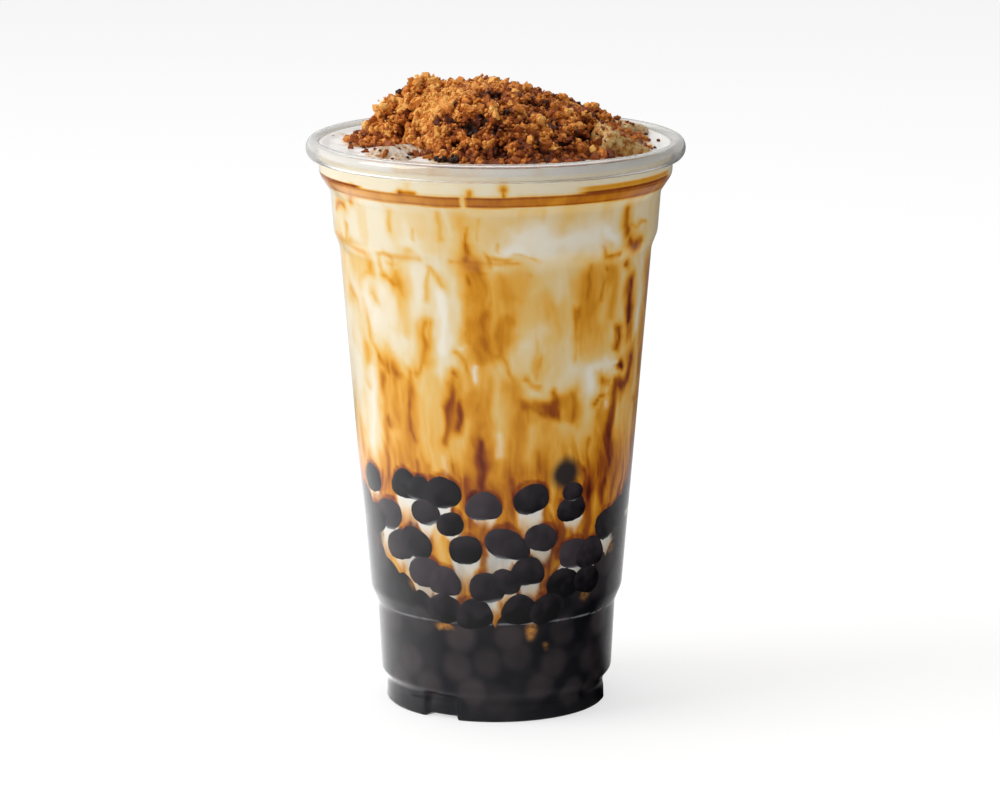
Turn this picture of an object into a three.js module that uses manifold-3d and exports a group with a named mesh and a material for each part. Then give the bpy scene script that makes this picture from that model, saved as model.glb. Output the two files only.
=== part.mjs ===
// Brown sugar bubble tea in a clear plastic cup, filled to the brim and topped with crumbled sugar.
// Millimetres, +Z up. The origin is the middle of the foot, on the surface the cup stands on.
// The front faces -Y, and angles round the cup are counted from the front towards +X.
import * as THREE from "three";
import { mergeVertices } from "three/addons/utils/BufferGeometryUtils.js";
import { RoundedBoxGeometry } from "three/addons/geometries/RoundedBoxGeometry.js";
import Module from "manifold-3d";

const wasm = await Module();
wasm.setup();

// Cup: straight bands of wall from the foot up, with a short sloping step from each band to the next
const CUP_HEIGHT = 148.7;
const RIM_RADIUS = 49;
const WALL = 0.8;
const SIDES = 48;
const FOOT = { bottom: 0.9, top: 5.6, bottomRadius: 28.9, topRadius: 28.5 };
const BANDS = [
  FOOT,
  { bottom: 8.4, top: 26.4, bottomRadius: 30.4, topRadius: 31.3 },
  { bottom: 30.8, top: 120.8, bottomRadius: 33.1, topRadius: 40.4 },
  { bottom: 124.6, top: 135.3, bottomRadius: 41.9, topRadius: 42.7 },
  { bottom: 139.7, top: 143.6, bottomRadius: 45.6, topRadius: 45.7 },
];
const BEAD_HALF_WIDTH = 2.0;
const BEAD_HALF_HEIGHT = 2.5;
const PUNT_RADIUS = 20;
const PUNT_RISE = 2.6;
const STAND_INNER_RADIUS = 23.5;
const NOTCH_DEPTH = 1.5;
const NOTCH_HALF_ANGLE = 9;
const NOTCH_ANGLES = [-30, 90, 210];

// Milk tea, with a sliver of room left between it and every neighbour
const MILK_LEVEL = 145.5;
const GAP = 0.3;

// Tapioca pearls: a dark bed, and the pearls that show above it in loose rows against the wall
const PEARL_RADIUS = 4.7;
const PEARL_SINK = 2.8;
const PEARL_STRAY = 1.5;
const PEARL_ROWS = [
  { height: 62, angles: [-64, -41, -21, -5, 15, 31] },
  { height: 54.5, angles: [-52, -31, -18, 36] },
  { height: 48, angles: [-37, -13, 4, 20, 55] },
  { height: 39, angles: [-23, -4, 14, 32] },
  { height: 30.5, angles: [-10, 11] },
];
const BED_EDGE = { middle: 41, sideRise: 10, backRise: 3 };
const BED_CORE = { radius: 29, top: 65, shoulder: 61 };

// Sugar crumble
const HEAP_HEIGHT = 15.4;
const HEAP_RADIUS = 38;
const HEAP_CENTRE_X = -1;
const HEAP_EDGE = 0.8;
const HEAP_HOLLOW = { angle: -62, spread: 28, depth: 0.36 };
const HEAP_DETAIL = 10;
const LUMP_HEIGHT = 0.8;
const CRUMB_HEIGHT = 1.4;
const CLUMP_COUNT = 27;
const CLUMP_RADIUS = { small: 1.8, large: 3.2 };

// Ice: width, depth and height of each block, its middle, and its turn about X, Y and Z in degrees
const ICE = {
  ice_right: { size: [15, 11.5, 13], at: [30.5, -14, 145.6], turn: [2, 30, 20] },
  ice_back: { size: [11, 14, 8], at: [32.5, 15, 146.6], turn: [-6, 12, -28] },
  ice_left: { size: [14, 14, 14], at: [-18.5, 9, 151.8], turn: [14, -22, 35] },
  ice_front: { size: [14, 12, 9], at: [-23.5, -24, 144.4], turn: [10, 12, 42] },
};
const ICE_ROUNDING = 2.2;

const ICE_LOOK = { color: 0xd9d2c4, roughness: 0.15, metalness: 0, transparent: true, opacity: 0.55 };
const LOOKS = {
  cup: { color: 0xeef0ee, roughness: 0.12, metalness: 0, transparent: true, opacity: 0.28 },
  pearl_bed: { color: 0x24120c, roughness: 0.3, metalness: 0 },
  milk: { color: 0xd3b48f, roughness: 0.45, metalness: 0 },
  sugar_heap: { color: 0xa06a31, roughness: 0.85, metalness: 0 },
  ice_right: ICE_LOOK,
  ice_back: ICE_LOOK,
  ice_left: ICE_LOOK,
  ice_front: ICE_LOOK,
};

const { sin, cos, acos, atan2, exp, floor, round, sqrt, abs, min, PI } = Math;
const { degToRad, lerp, clamp, euclideanModulo } = THREE.MathUtils;

// The same number from 0 to 1 every time for the same two numbers.
function scatter(index, channel) {
  const value = sin(index * 12.9898 + channel * 78.233) * 43758.5453;
  return value - floor(value);
}

function onCircle(radius, angle, height) {
  return new THREE.Vector3(radius * sin(angle), -radius * cos(angle), height);
}

function solidOf(geometry) {
  const bare = new THREE.BufferGeometry();
  bare.setAttribute("position", geometry.getAttribute("position"));
  bare.setIndex(geometry.getIndex());
  const merged = mergeVertices(bare, 1e-4);
  return new wasm.Manifold(new wasm.Mesh({
    numProp: 3,
    vertProperties: merged.getAttribute("position").array,
    triVerts: new Uint32Array(merged.getIndex().array),
  }));
}

function largestBody(solid) {
  return solid.decompose().sort((a, b) => b.volume() - a.volume())[0];
}

// Revolve a profile about Z. Each of its points is a function from the angle to [radius, height].
function revolve(profile) {
  const outline = profile.map((point) => new THREE.Vector2(...point(0)));
  const geometry = new THREE.LatheGeometry(outline, SIDES).rotateX(PI / 2);
  const position = geometry.getAttribute("position");
  for (let i = 0; i < position.count; i += 1) {
    const angle = (floor(i / profile.length) % SIDES) * (2 * PI / SIDES);
    const [radius, height] = profile[i % profile.length](angle);
    position.setXYZ(i, ...onCircle(radius, angle, height));
  }
  return geometry;
}

function inNotch(angle) {
  return NOTCH_ANGLES.some((middle) => {
    const away = euclideanModulo(angle - degToRad(middle) + PI, 2 * PI) - PI;
    return abs(away) < degToRad(NOTCH_HALF_ANGLE);
  });
}

// Points of a round profile with the three notches pressed into the foot.
function notched(points) {
  return points.map(([radius, height]) => {
    const inFoot = height <= FOOT.top + WALL && radius <= FOOT.bottomRadius;
    const onSide = radius > STAND_INNER_RADIUS + WALL;
    return (angle) => [inFoot && onSide && inNotch(angle) ? radius - NOTCH_DEPTH : radius, height];
  });
}

function wallPoints(inset) {
  return BANDS.flatMap(({ bottom, top, bottomRadius, topRadius }) => [
    [bottomRadius - inset, bottom],
    [topRadius - inset, top],
  ]);
}

// Floor from the middle of the raised punt out to the rounded corner of the foot.
function floorPoints(inset) {
  return [
    [0, PUNT_RISE + inset],
    [PUNT_RADIUS, PUNT_RISE + inset],
    [STAND_INNER_RADIUS, inset],
    [FOOT.bottomRadius - inset - FOOT.bottom, inset],
  ];
}

// The room inside the cup, `inset` from the outside of its wall, with `top` points to close it.
function roomInside(inset, top) {
  const [[footRadius, footBottom], ...wall] = wallPoints(inset);
  const corner = [footRadius, footBottom + inset];
  return solidOf(revolve(notched([...floorPoints(inset), corner, ...wall, ...top])));
}

// Outline of the rolled rim between two angles, counted up from straight out.
function beadPoints(from, to) {
  const points = [];
  for (let degrees = from; degrees <= to; degrees += 45) {
    const turn = degToRad(degrees);
    points.push([
      RIM_RADIUS + BEAD_HALF_WIDTH * (cos(turn) - 1),
      CUP_HEIGHT + BEAD_HALF_HEIGHT * (sin(turn) - 1),
    ]);
  }
  return points;
}

function cup() {
  const outline = [...floorPoints(0), ...wallPoints(0), ...beadPoints(-135, 90), [0, CUP_HEIGHT]];
  const lip = beadPoints(90, 180).reverse();
  const above = CUP_HEIGHT + 5;
  const mouth = [[RIM_RADIUS - BEAD_HALF_WIDTH, above], [0, above]];
  return solidOf(revolve(notched(outline))).subtract(roomInside(WALL, [...lip, ...mouth]));
}

function filling() {
  const inset = WALL + GAP;
  const [brim] = wallPoints(inset).pop();
  return roomInside(inset, [[brim, MILK_LEVEL], [0, MILK_LEVEL]]);
}

// Height at the wall of the dark bed: low in front, high at the sides.
function bedEdge(angle) {
  return BED_EDGE.middle - BED_EDGE.sideRise * cos(2 * angle) - BED_EDGE.backRise * cos(angle);
}

// The middle of the bed, wider than the cup at the bottom so that the cup's inside trims it.
function bedCore(grow) {
  const beyond = RIM_RADIUS;
  const side = BED_CORE.radius + grow;
  return solidOf(revolve([
    () => [0, -GAP],
    () => [beyond, -GAP],
    (angle) => [beyond, bedEdge(angle) + grow],
    (angle) => [side, bedEdge(angle) + grow],
    () => [side, BED_CORE.shoulder + grow],
    () => [0.7 * side, lerp(BED_CORE.shoulder, BED_CORE.top, 0.75) + grow],
    () => [0, BED_CORE.top + grow],
  ]));
}

// Inside radius of the wall along its main bands.
function wallRadius(height) {
  const { bottom, top, bottomRadius, topRadius } = BANDS.find((band) => band.top >= height);
  return lerp(bottomRadius, topRadius, (height - bottom) / (top - bottom)) - WALL - GAP;
}

// Middles of the pearls at the wall: the rows in front, and every third of them again behind.
function pearlPlaces() {
  const turns = PEARL_ROWS.flatMap(({ height, angles }) => [
    ...angles.map((angle) => [angle, height]),
    ...angles.filter((angle, place) => place % 3 === 1).map((angle) => [angle + 180, height]),
  ]);
  return turns.map(([angle, row]) => {
    const height = row + PEARL_STRAY * (2 * scatter(angle, 1) - 1);
    return onCircle(wallRadius(height) - PEARL_SINK, degToRad(angle), height);
  });
}

function pearlBed(grow) {
  const rounding = 1.1;
  return pearlPlaces().reduce((bed, place) => {
    const pearl = new THREE.DodecahedronGeometry(rounding * (PEARL_RADIUS + grow));
    return bed.add(solidOf(pearl.translate(...place)));
  }, bedCore(grow));
}

function iceBlock({ size, at, turn }, grow) {
  const [width, depth, height] = size.map((edge) => edge + 2 * grow);
  const [turnX, turnY, turnZ] = turn.map(degToRad);
  const block = new RoundedBoxGeometry(width, depth, height, 1, ICE_ROUNDING + grow);
  return solidOf(block.rotateZ(turnZ).rotateY(turnY).rotateX(turnX).translate(...at));
}

// Height of the crumble at a share of its radius: steep on the left, easing down to the right.
function heapRise(share, angle) {
  const dome = HEAP_HEIGHT * (1 - share ** (2.65 - 0.55 * sin(angle)));
  const lumps = sin(3 * angle + 6 * share) + sin(5 * angle - 9 * share + 1);
  return HEAP_EDGE + dome + LUMP_HEIGHT * lumps * share * (1 - share ** 4);
}

// Distance from the middle of the crumble: it lies back from the rim at the front left.
function heapReach(share, angle) {
  const away = euclideanModulo(angle - degToRad(HEAP_HOLLOW.angle) + PI, 2 * PI) - PI;
  const hollow = HEAP_HOLLOW.depth * exp(-((away / degToRad(HEAP_HOLLOW.spread)) ** 2));
  return share * HEAP_RADIUS * (1 - hollow + 0.025 * sin(4 * angle + 1) + 0.02 * sin(7 * angle));
}

// A ball of evenly spread points: its upper half becomes the crumbly mound, its lower half lies below.
function mound(base) {
  const ball = new THREE.IcosahedronGeometry(1, HEAP_DETAIL);
  const position = ball.getAttribute("position");
  for (let i = 0; i < position.count; i += 1) {
    const [x, y, z] = [position.getX(i), position.getY(i), position.getZ(i)];
    const angle = atan2(x, -y);
    const fall = acos(clamp(z, -1, 1)) / (PI / 2);
    const share = min(fall, 2 - fall);
    const crumb = CRUMB_HEIGHT * (2 * scatter(round(100 * x), round(100 * y)) - 1);
    const height = fall > 1 ? 1 - fall : heapRise(share, angle) + crumb * (1 - share ** 4);
    position.setXYZ(i, ...onCircle(heapReach(share, angle), angle, base + height));
  }
  return ball;
}

// The mound, with larger clumps spread evenly over it, cut off level just above the milk.
function sugarHeap() {
  const base = MILK_LEVEL + GAP;
  const goldenAngle = degToRad(137.508);
  let heap = solidOf(mound(base).translate(HEAP_CENTRE_X, 0, 0));
  for (let index = 0; index < CLUMP_COUNT; index += 1) {
    const share = 0.95 * sqrt((index + 0.5) / CLUMP_COUNT);
    const angle = index * goldenAngle;
    const radius = lerp(CLUMP_RADIUS.small, CLUMP_RADIUS.large, scatter(index, 4) ** 2);
    const place = onCircle(heapReach(share, angle), angle, base + heapRise(share, angle));
    const clump = new THREE.IcosahedronGeometry(radius);
    clump.rotateX(2 * PI * scatter(index, 5)).rotateZ(2 * PI * scatter(index, 6));
    heap = heap.add(solidOf(clump.translate(place.x + HEAP_CENTRE_X, place.y, place.z)));
  }
  return heap.trimByPlane([0, 0, 1], base);
}

const room = filling();
const blocks = Object.entries(ICE);
const iceRoom = blocks.map(([, block]) => iceBlock(block, GAP)).reduce((all, block) => all.add(block));
const solids = {
  cup: cup(),
  pearl_bed: largestBody(pearlBed(0).intersect(room)),
  milk: largestBody(room.subtract(pearlBed(GAP)).subtract(iceRoom)),
  sugar_heap: largestBody(sugarHeap().subtract(iceRoom)),
  ...Object.fromEntries(blocks.map(([name, block]) => [name, iceBlock(block, 0)])),
};

const tea = new THREE.Group();
tea.name = "bubble_tea";
for (const [name, solid] of Object.entries(solids)) {
  const { vertProperties, triVerts } = solid.getMesh();
  const geometry = new THREE.BufferGeometry();
  geometry.setAttribute("position", new THREE.BufferAttribute(vertProperties, 3));
  geometry.setIndex(new THREE.BufferAttribute(triVerts, 1));
  const mesh = new THREE.Mesh(geometry, new THREE.MeshStandardMaterial(LOOKS[name]));
  mesh.name = name;
  tea.add(mesh);
}

export default tea;
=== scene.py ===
import math

import bpy
import numpy as np
from mathutils import Matrix, Vector
from mathutils.kdtree import KDTree


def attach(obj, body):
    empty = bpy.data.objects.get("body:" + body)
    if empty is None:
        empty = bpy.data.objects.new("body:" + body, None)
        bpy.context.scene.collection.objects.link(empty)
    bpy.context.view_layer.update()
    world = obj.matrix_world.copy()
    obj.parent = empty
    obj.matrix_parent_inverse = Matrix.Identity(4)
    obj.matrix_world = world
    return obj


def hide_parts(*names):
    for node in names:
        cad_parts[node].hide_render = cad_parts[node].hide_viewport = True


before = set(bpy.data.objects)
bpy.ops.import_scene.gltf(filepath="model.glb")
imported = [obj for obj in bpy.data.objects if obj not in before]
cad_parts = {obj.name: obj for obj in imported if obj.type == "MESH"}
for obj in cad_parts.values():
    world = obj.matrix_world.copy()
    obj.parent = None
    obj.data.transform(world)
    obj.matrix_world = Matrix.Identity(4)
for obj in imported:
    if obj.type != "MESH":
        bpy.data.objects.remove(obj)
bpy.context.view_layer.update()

mm = 0.001
dice = np.random.default_rng(26)

# Angles round the cup are in degrees from the front (-Y) towards +X, lengths in millimetres.


def tone(red, green, blue):
    colour = np.array([red, green, blue]) / 255  # picked as seen on screen, made linear here
    linear = np.where(colour <= 0.04045, colour / 12.92, ((colour + 0.055) / 1.055) ** 2.4)
    return (*linear.tolist(), 1.0)


def deselectAll():
    if bpy.context.object and bpy.context.object.mode != "OBJECT":
        bpy.ops.object.mode_set(mode="OBJECT")
    bpy.ops.object.select_all(action="DESELECT")


def pickOnly(piece):
    deselectAll()
    piece.select_set(True)
    bpy.context.view_layer.objects.active = piece


def report(piece):
    piece.data.calc_loop_triangles()
    print(f"{piece.name}: {len(piece.data.loop_triangles)} triangles")


def settle(piece, slotName, *nodes):
    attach(piece, "root")
    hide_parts(*nodes)
    report(piece)


# Smooth a finished piece, all over or up to an angle, and give it its material.
def dress(piece, material, angle=None):
    pickOnly(piece)
    if angle:
        bpy.ops.object.shade_smooth_by_angle(angle=math.radians(angle))
    else:
        bpy.ops.object.shade_smooth()
    piece.data.materials.append(material)


def pointsOf(piece):
    flat = np.empty(len(piece.data.vertices) * 3)
    piece.data.vertices.foreach_get("co", flat)
    return flat.reshape(-1, 3) / mm


def movePoints(piece, points):
    piece.data.vertices.foreach_set("co", (np.asarray(points) * mm).ravel())
    piece.data.update()


def normalsOf(piece):
    flat = np.empty(len(piece.data.vertices) * 3)
    piece.data.vertices.foreach_get("normal", flat)
    return flat.reshape(-1, 3)


def paint(piece, name, values):
    layer = piece.data.attributes.new(name, "FLOAT", "POINT")
    layer.data.foreach_set("value", np.asarray(values, dtype=np.float32))


def blend(low, high, values):
    share = np.clip((values - low) / (high - low), 0, 1)
    return share * share * (3 - 2 * share)


def scatter(first, second, third=0):
    value = np.sin(first * 12.9898 + second * 78.233 + third * 37.719) * 43758.5453
    return value - np.floor(value)


# Smooth noise from 0 to 1. It closes on itself after `wrap` cells of u.
def ripple(u, v, wrap, seed):
    column, row = np.floor(u), np.floor(v)
    across, along = u - column, v - row
    across = across * across * (3 - 2 * across)
    along = along * along * (3 - 2 * along)
    here, nextOne = column % wrap, (column + 1) % wrap
    low = scatter(here, row, seed) * (1 - across) + scatter(nextOne, row, seed) * across
    high = scatter(here, row + 1, seed) * (1 - across) + scatter(nextOne, row + 1, seed) * across
    return low * (1 - along) + high * along


# Layers of that noise round the cup: cells of `width` by `height`, each finer layer at half the size.
def swirl(turn, height, width, tall, seed, layers=3):
    wrap = max(3, round(2 * math.pi * cup["paintRadius"] / width))
    total = np.zeros_like(turn)
    weight = 0
    for layer in range(layers):
        finer = 2 ** layer
        part = ripple((turn / 360 + 0.5) * wrap * finer, height / tall * finer, wrap * finer, seed + layer)
        total += part / finer
        weight += 1 / finer
    return total / weight


def startMaterial(name):
    material = bpy.data.materials.new(name)
    material.use_nodes = True
    return material, material.node_tree, material.node_tree.nodes["Principled BSDF"]


def addNode(tree, kind, settings=None, **inputs):
    node = tree.nodes.new(kind)
    for key, value in (settings or {}).items():
        setattr(node, key, value)
    for key, value in inputs.items():
        connect(tree, node, key, value)
    return node


def connect(tree, node, key, value):
    socket = node.inputs[int(key[1:])] if key[0] == "_" else node.inputs[key]
    if isinstance(value, bpy.types.NodeSocket):
        tree.links.new(value, socket)
    else:
        socket.default_value = value


def addRamp(tree, source, stops):
    node = addNode(tree, "ShaderNodeValToRGB", Fac=source)
    elements = node.color_ramp.elements
    elements[0].position, elements[0].color = stops[0]
    elements[1].position, elements[1].color = stops[-1]
    for place, colour in stops[1:-1]:
        elements.new(place).color = colour
    return node.outputs["Color"]


def addMath(tree, operation, first, second, clamp=False):
    settings = {"operation": operation, "use_clamp": clamp}
    return addNode(tree, "ShaderNodeMath", settings, _0=first, _1=second).outputs["Value"]


def addMix(tree, share, first, second, mode="MIX"):
    node = addNode(tree, "ShaderNodeMix", {"data_type": "RGBA", "blend_type": mode},
                   _0=share, _6=first, _7=second)
    return node.outputs[2]


def addNoise(tree, size, stretch=(1, 1, 1), detail=3.0, roughness=0.55):
    place = addNode(tree, "ShaderNodeTexCoord").outputs["Object"]
    mapped = addNode(tree, "ShaderNodeMapping", Vector=place, Scale=stretch).outputs["Vector"]
    noise = addNode(tree, "ShaderNodeTexNoise", Vector=mapped, Scale=1 / (size * mm), Detail=detail,
                    Roughness=roughness)
    return noise.outputs["Fac"]


def addBump(tree, shader, height, strength, depth):
    bump = addNode(tree, "ShaderNodeBump", Height=height, Strength=strength, Distance=depth * mm)
    connect(tree, shader, "Normal", bump.outputs["Normal"])


def readPaint(tree, name):
    return addNode(tree, "ShaderNodeAttribute", {"attribute_name": name}).outputs["Fac"]


# Camera, light and floor

studio = {
    "cameraPlace": (0.0011, -1.1537, 0.3214),
    "cameraDrop": 11.854,  # degrees below level
    "lens": 162.6,
    "skyFront": 0.32,
    "skyBack": 0.85,
    "skyLeft": 1.5,  # the room's light is stronger on the left and weaker on the right
    "skyRight": 0.34,
    "lamps": {  # place, width, height, watts
        "keyLamp": ((-1.05, -0.3, 0.95), 0.9, 0.9, 10.6),
        "topLamp": ((0.0, 0.2, 1.7), 2.2, 2.2, 11),
        "fillLamp": ((0.1, -1.4, 0.8), 1.2, 1.2, 2.4),
    },
    "unmirrored": ("fillLamp",),
    "mirrorStrength": 2.2,
    "mirrorFade": (0.18, 0.36),  # metres from the cup, where the floor's glow dies down to mirrorFar
    "mirrorFar": 0.15,
    "mirrorBack": (0.22, 0.45),  # metres behind it, where the floor is bright again
    "mirrorSides": (0.36, 0.2),  # how bright, on the left and on the right
    "mirrored": [  # how bright the floor is in the cup's gloss, by its direction from the cup
        (-180, 0.6), (-166, 0.88), (-120, 0.82), (-90, 0.6), (-60, 0.43), (-40, 0.23), (-20, 0.21),
        (0, 0.15), (20, 0.11), (40, 0.05), (60, 0.025), (80, 0.0), (94, 0.0), (102, 0.03),
        (110, 0.1), (122, 0.18), (145, 0.29), (166, 0.36), (180, 0.6),
    ],
    "floorGlow": 0.62,  # keeps the floor evenly pale
    "floorSeen": tone(176, 176, 176),  # its own grey, before the glow is added
    "aim": (0, 0, 0.08),
}


def addCamera():
    camera = bpy.data.cameras.new("camera")
    camera.lens = studio["lens"]
    camera.sensor_width = 36
    camera.clip_start = 0.01
    holder = bpy.data.objects.new("camera", camera)
    holder.location = studio["cameraPlace"]
    holder.rotation_euler = (math.radians(90 - studio["cameraDrop"]), 0, 0)
    bpy.context.collection.objects.link(holder)
    bpy.context.scene.camera = holder


def addLamps():
    for name, (place, width, tall, watts) in studio["lamps"].items():
        lamp = bpy.data.lights.new(name, "AREA")
        lamp.shape = "RECTANGLE"
        lamp.size, lamp.size_y, lamp.energy = width, tall, watts
        holder = bpy.data.objects.new(name, lamp)
        holder.location = place
        holder.visible_glossy = name not in studio["unmirrored"]
        holder.rotation_euler = (Vector(studio["aim"]) - Vector(place)).to_track_quat("-Z", "Y").to_euler()
        bpy.context.collection.objects.link(holder)


def addRange(tree, source, low, high, lowest, highest, shape="SMOOTHSTEP"):
    node = addNode(tree, "ShaderNodeMapRange", {"interpolation_type": shape}, Value=source)
    for key, value in {"From Min": low, "From Max": high, "To Min": lowest, "To Max": highest}.items():
        node.inputs[key].default_value = value
    return node.outputs["Result"]


# A white room that is dimmer on the camera's side, so that the dark drink stays dark in its gloss.
def addSky():
    world = bpy.data.worlds.new("studio")
    bpy.context.scene.world = world
    world.use_nodes = True
    tree = world.node_tree
    sky = tree.nodes["Background"]
    view = addNode(tree, "ShaderNodeTexCoord").outputs["Generated"]
    aim = addNode(tree, "ShaderNodeSeparateXYZ", Vector=view)
    depth = addRange(tree, aim.outputs["Y"], -0.6, 0.8, studio["skyFront"], studio["skyBack"])
    side = addRange(tree, aim.outputs["X"], -1.0, 0.9, studio["skyLeft"], studio["skyRight"])
    seen = addNode(tree, "ShaderNodeLightPath").outputs["Is Camera Ray"]
    glow = addMath(tree, "MULTIPLY", depth, side)
    connect(tree, sky, "Strength", addMath(tree, "MAXIMUM", glow, seen))
    sky.inputs["Color"].default_value = (1, 1, 1, 1)


def addFloor():
    deselectAll()
    bpy.ops.mesh.primitive_grid_add(x_subdivisions=8, y_subdivisions=8, size=9)
    floor = bpy.context.object
    floor.name = "floor"
    material, tree, shader = startMaterial("pale_floor")
    mottle = addNoise(tree, 60, detail=2)
    colour = addRamp(tree, mottle, [(0.3, tone(244, 244, 243)), (0.7, tone(248, 248, 248))])
    # in the cup's gloss the floor glows on the left and is dark on the right, as between a card and a flag
    spot = addNode(tree, "ShaderNodeTexCoord").outputs["Object"]
    away = addNode(tree, "ShaderNodeVectorMath", {"operation": "LENGTH"}, _0=spot).outputs["Value"]
    place = addNode(tree, "ShaderNodeSeparateXYZ", Vector=spot)
    around = addMath(tree, "ARCTAN2", place.outputs["X"], addMath(tree, "MULTIPLY", place.outputs["Y"], -1))
    around = addRange(tree, around, -math.pi, math.pi, 0, 1, "LINEAR")
    stops = [(turn / 360 + 0.5, (grey, grey, grey, 1)) for turn, grey in studio["mirrored"]]
    glow = addRamp(tree, around, stops)
    path = addNode(tree, "ShaderNodeLightPath")
    colour = addMix(tree, path.outputs["Is Glossy Ray"], colour, tone(0, 0, 0))
    colour = addMix(tree, path.outputs["Is Camera Ray"], colour, studio["floorSeen"])
    connect(tree, shader, "Base Color", colour)
    shader.inputs["Emission Color"].default_value = (1, 1, 1, 1)
    inGloss = addMath(tree, "MULTIPLY", path.outputs["Is Glossy Ray"], studio["mirrorStrength"])
    fade = addRange(tree, away, *studio["mirrorFade"], 1.0, studio["mirrorFar"])
    behind = addRange(tree, place.outputs["Y"], *studio["mirrorBack"], 0.0, 1.0)
    sides = addRange(tree, place.outputs["X"], -0.1, 0.1, *studio["mirrorSides"])
    fade = addMath(tree, "MAXIMUM", fade, addMath(tree, "MULTIPLY", behind, sides))
    inGloss = addMath(tree, "MULTIPLY", inGloss, fade)
    inGloss = addMath(tree, "MULTIPLY", inGloss, glow)
    seen = addMath(tree, "MULTIPLY", path.outputs["Is Camera Ray"], studio["floorGlow"])
    connect(tree, shader, "Emission Strength", addMath(tree, "ADD", seen, inGloss))
    shader.inputs["Roughness"].default_value = 0.9
    shader.inputs["Specular IOR Level"].default_value = 0.0
    floor.data.materials.append(material)


def setPicture():
    scene = bpy.context.scene
    scene.view_settings.view_transform = "Standard"
    scene.view_settings.look = "None"
    scene.cycles.max_bounces = 14
    scene.cycles.transmission_bounces = 12
    scene.cycles.transparent_max_bounces = 16


# Clear cup

cup = {
    "sheet": 0.6,  # thickness of the plastic
    "corners": [  # height and outer radius where one straight stretch of wall meets the next
        (0.9, 28.9), (4.7, 28.8), (5.9, 28.35), (8.4, 30.4), (26.4, 31.3), (30.8, 33.1),
        (120.8, 40.4), (124.6, 41.9), (135.3, 42.7), (139.7, 45.6), (143.6, 45.7),
    ],
    "rounding": 0.8,
    "wallFrom": 1.4,
    "rowSpacing": 24,
    "steps": 360,
    "smooth": 38,
    "rimMiddle": (47.0, 146.2),  # radius and height
    "rimHalf": (2.0, 2.5),
    "rimFrom": 144.0,  # the plastic is cloudier from here up
    "rimClear": 0.94,
    "rimColour": tone(244, 242, 238),
    "footRounding": 0.9,
    "puntRadius": 20.0,
    "puntRise": 2.6,
    "standInner": 23.5,
    "notchTurns": (-30, 90, 210),
    "notchHalf": 9.0,
    "notchDepth": 1.5,
    "notchLift": 0.7,
    "paintRadius": 37.0,  # mean radius, for patterns laid round the wall
}


def wallRadius(height):
    heights, radii = zip(*cup["corners"])
    around = np.add.outer(np.asarray(height, float), np.linspace(-1, 1, 9) * cup["rounding"])
    return np.interp(around, heights, radii).mean(axis=-1)


# Heights that catch every corner of the wall between two levels, with even rows in between.
def wallRows(bottom, top, spacing):
    rows = set(np.linspace(bottom, top, max(2, round((top - bottom) / spacing) + 1)).round(3))
    for corner, _ in cup["corners"]:
        for part in (-1, -0.5, 0, 0.5, 1):
            level = round(corner + part * cup["rounding"], 3)
            if bottom < level < top:
                rows.add(level)
    return sorted(rows)


# Draw an outline of (radius, height) points from one vertex, and spin it round the cup's axis.
def spinOutline(name, outline, steps):
    deselectAll()
    bpy.ops.mesh.primitive_plane_add(size=mm)
    piece = bpy.context.object
    piece.name = name
    bpy.ops.object.mode_set(mode="EDIT")
    bpy.ops.mesh.select_all(action="SELECT")
    bpy.ops.mesh.merge(type="CENTER")
    corners = [Vector((0, -radius, height)) * mm for radius, height in outline]
    bpy.ops.transform.translate(value=corners[0])
    for last, corner in zip(corners, corners[1:]):
        bpy.ops.mesh.extrude_region_move(TRANSFORM_OT_translate={"value": corner - last})
    bpy.ops.mesh.select_all(action="SELECT")
    bpy.ops.mesh.spin(steps=steps, angle=2 * math.pi, center=(0, 0, 0), axis=(0, 0, 1))
    bpy.ops.mesh.select_all(action="SELECT")
    bpy.ops.mesh.remove_doubles(threshold=0.002 * mm)
    bpy.ops.mesh.normals_make_consistent(inside=False)
    bpy.ops.object.mode_set(mode="OBJECT")
    return piece


# Make the side wall's faces look away from the axis.
def faceOutwards(piece):
    halfway = cup["rimMiddle"][1] / 2 * mm
    side = min(piece.data.polygons, key=lambda face: abs(face.center.z - halfway))
    if side.normal.xy.dot(side.center.xy) < 0:
        pickOnly(piece)
        bpy.ops.object.mode_set(mode="EDIT")
        bpy.ops.mesh.select_all(action="SELECT")
        bpy.ops.mesh.flip_normals()
        bpy.ops.object.mode_set(mode="OBJECT")


def turnOf(points):
    return np.degrees(np.arctan2(points[:, 0], -points[:, 1]))


def apart(turn, middle):
    return (turn - middle + 180) % 360 - 180


# Press the three flat pockets into the side of the foot.
def pressNotches(piece):
    points = pointsOf(piece)
    turn, height = turnOf(points), points[:, 2]
    inFoot = blend(6.6, 5.9, height) * (np.hypot(points[:, 0], points[:, 1]) > cup["standInner"] + 1.5)
    for middle in cup["notchTurns"]:
        share = inFoot * blend(cup["notchHalf"] + 1.6, cup["notchHalf"] - 1.6, np.abs(apart(turn, middle)))
        angle = math.radians(middle)
        points[:, 0] -= math.sin(angle) * cup["notchDepth"] * share
        points[:, 1] += math.cos(angle) * cup["notchDepth"] * share
        points[:, 2] += cup["notchLift"] * share * blend(2.2, 0.8, height)
    movePoints(piece, points)


def floorOutline(lift):
    edge, bend = cup["corners"][0][1] - lift, cup["footRounding"]
    corner = [(edge - bend * (1 - math.sin(angle)), bend - bend * math.cos(angle) + lift)
              for angle in np.radians([0, 30, 60, 90])]
    return [(0, cup["puntRise"] + lift), (cup["puntRadius"], cup["puntRise"] + lift),
            (cup["standInner"], lift), *corner]


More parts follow.
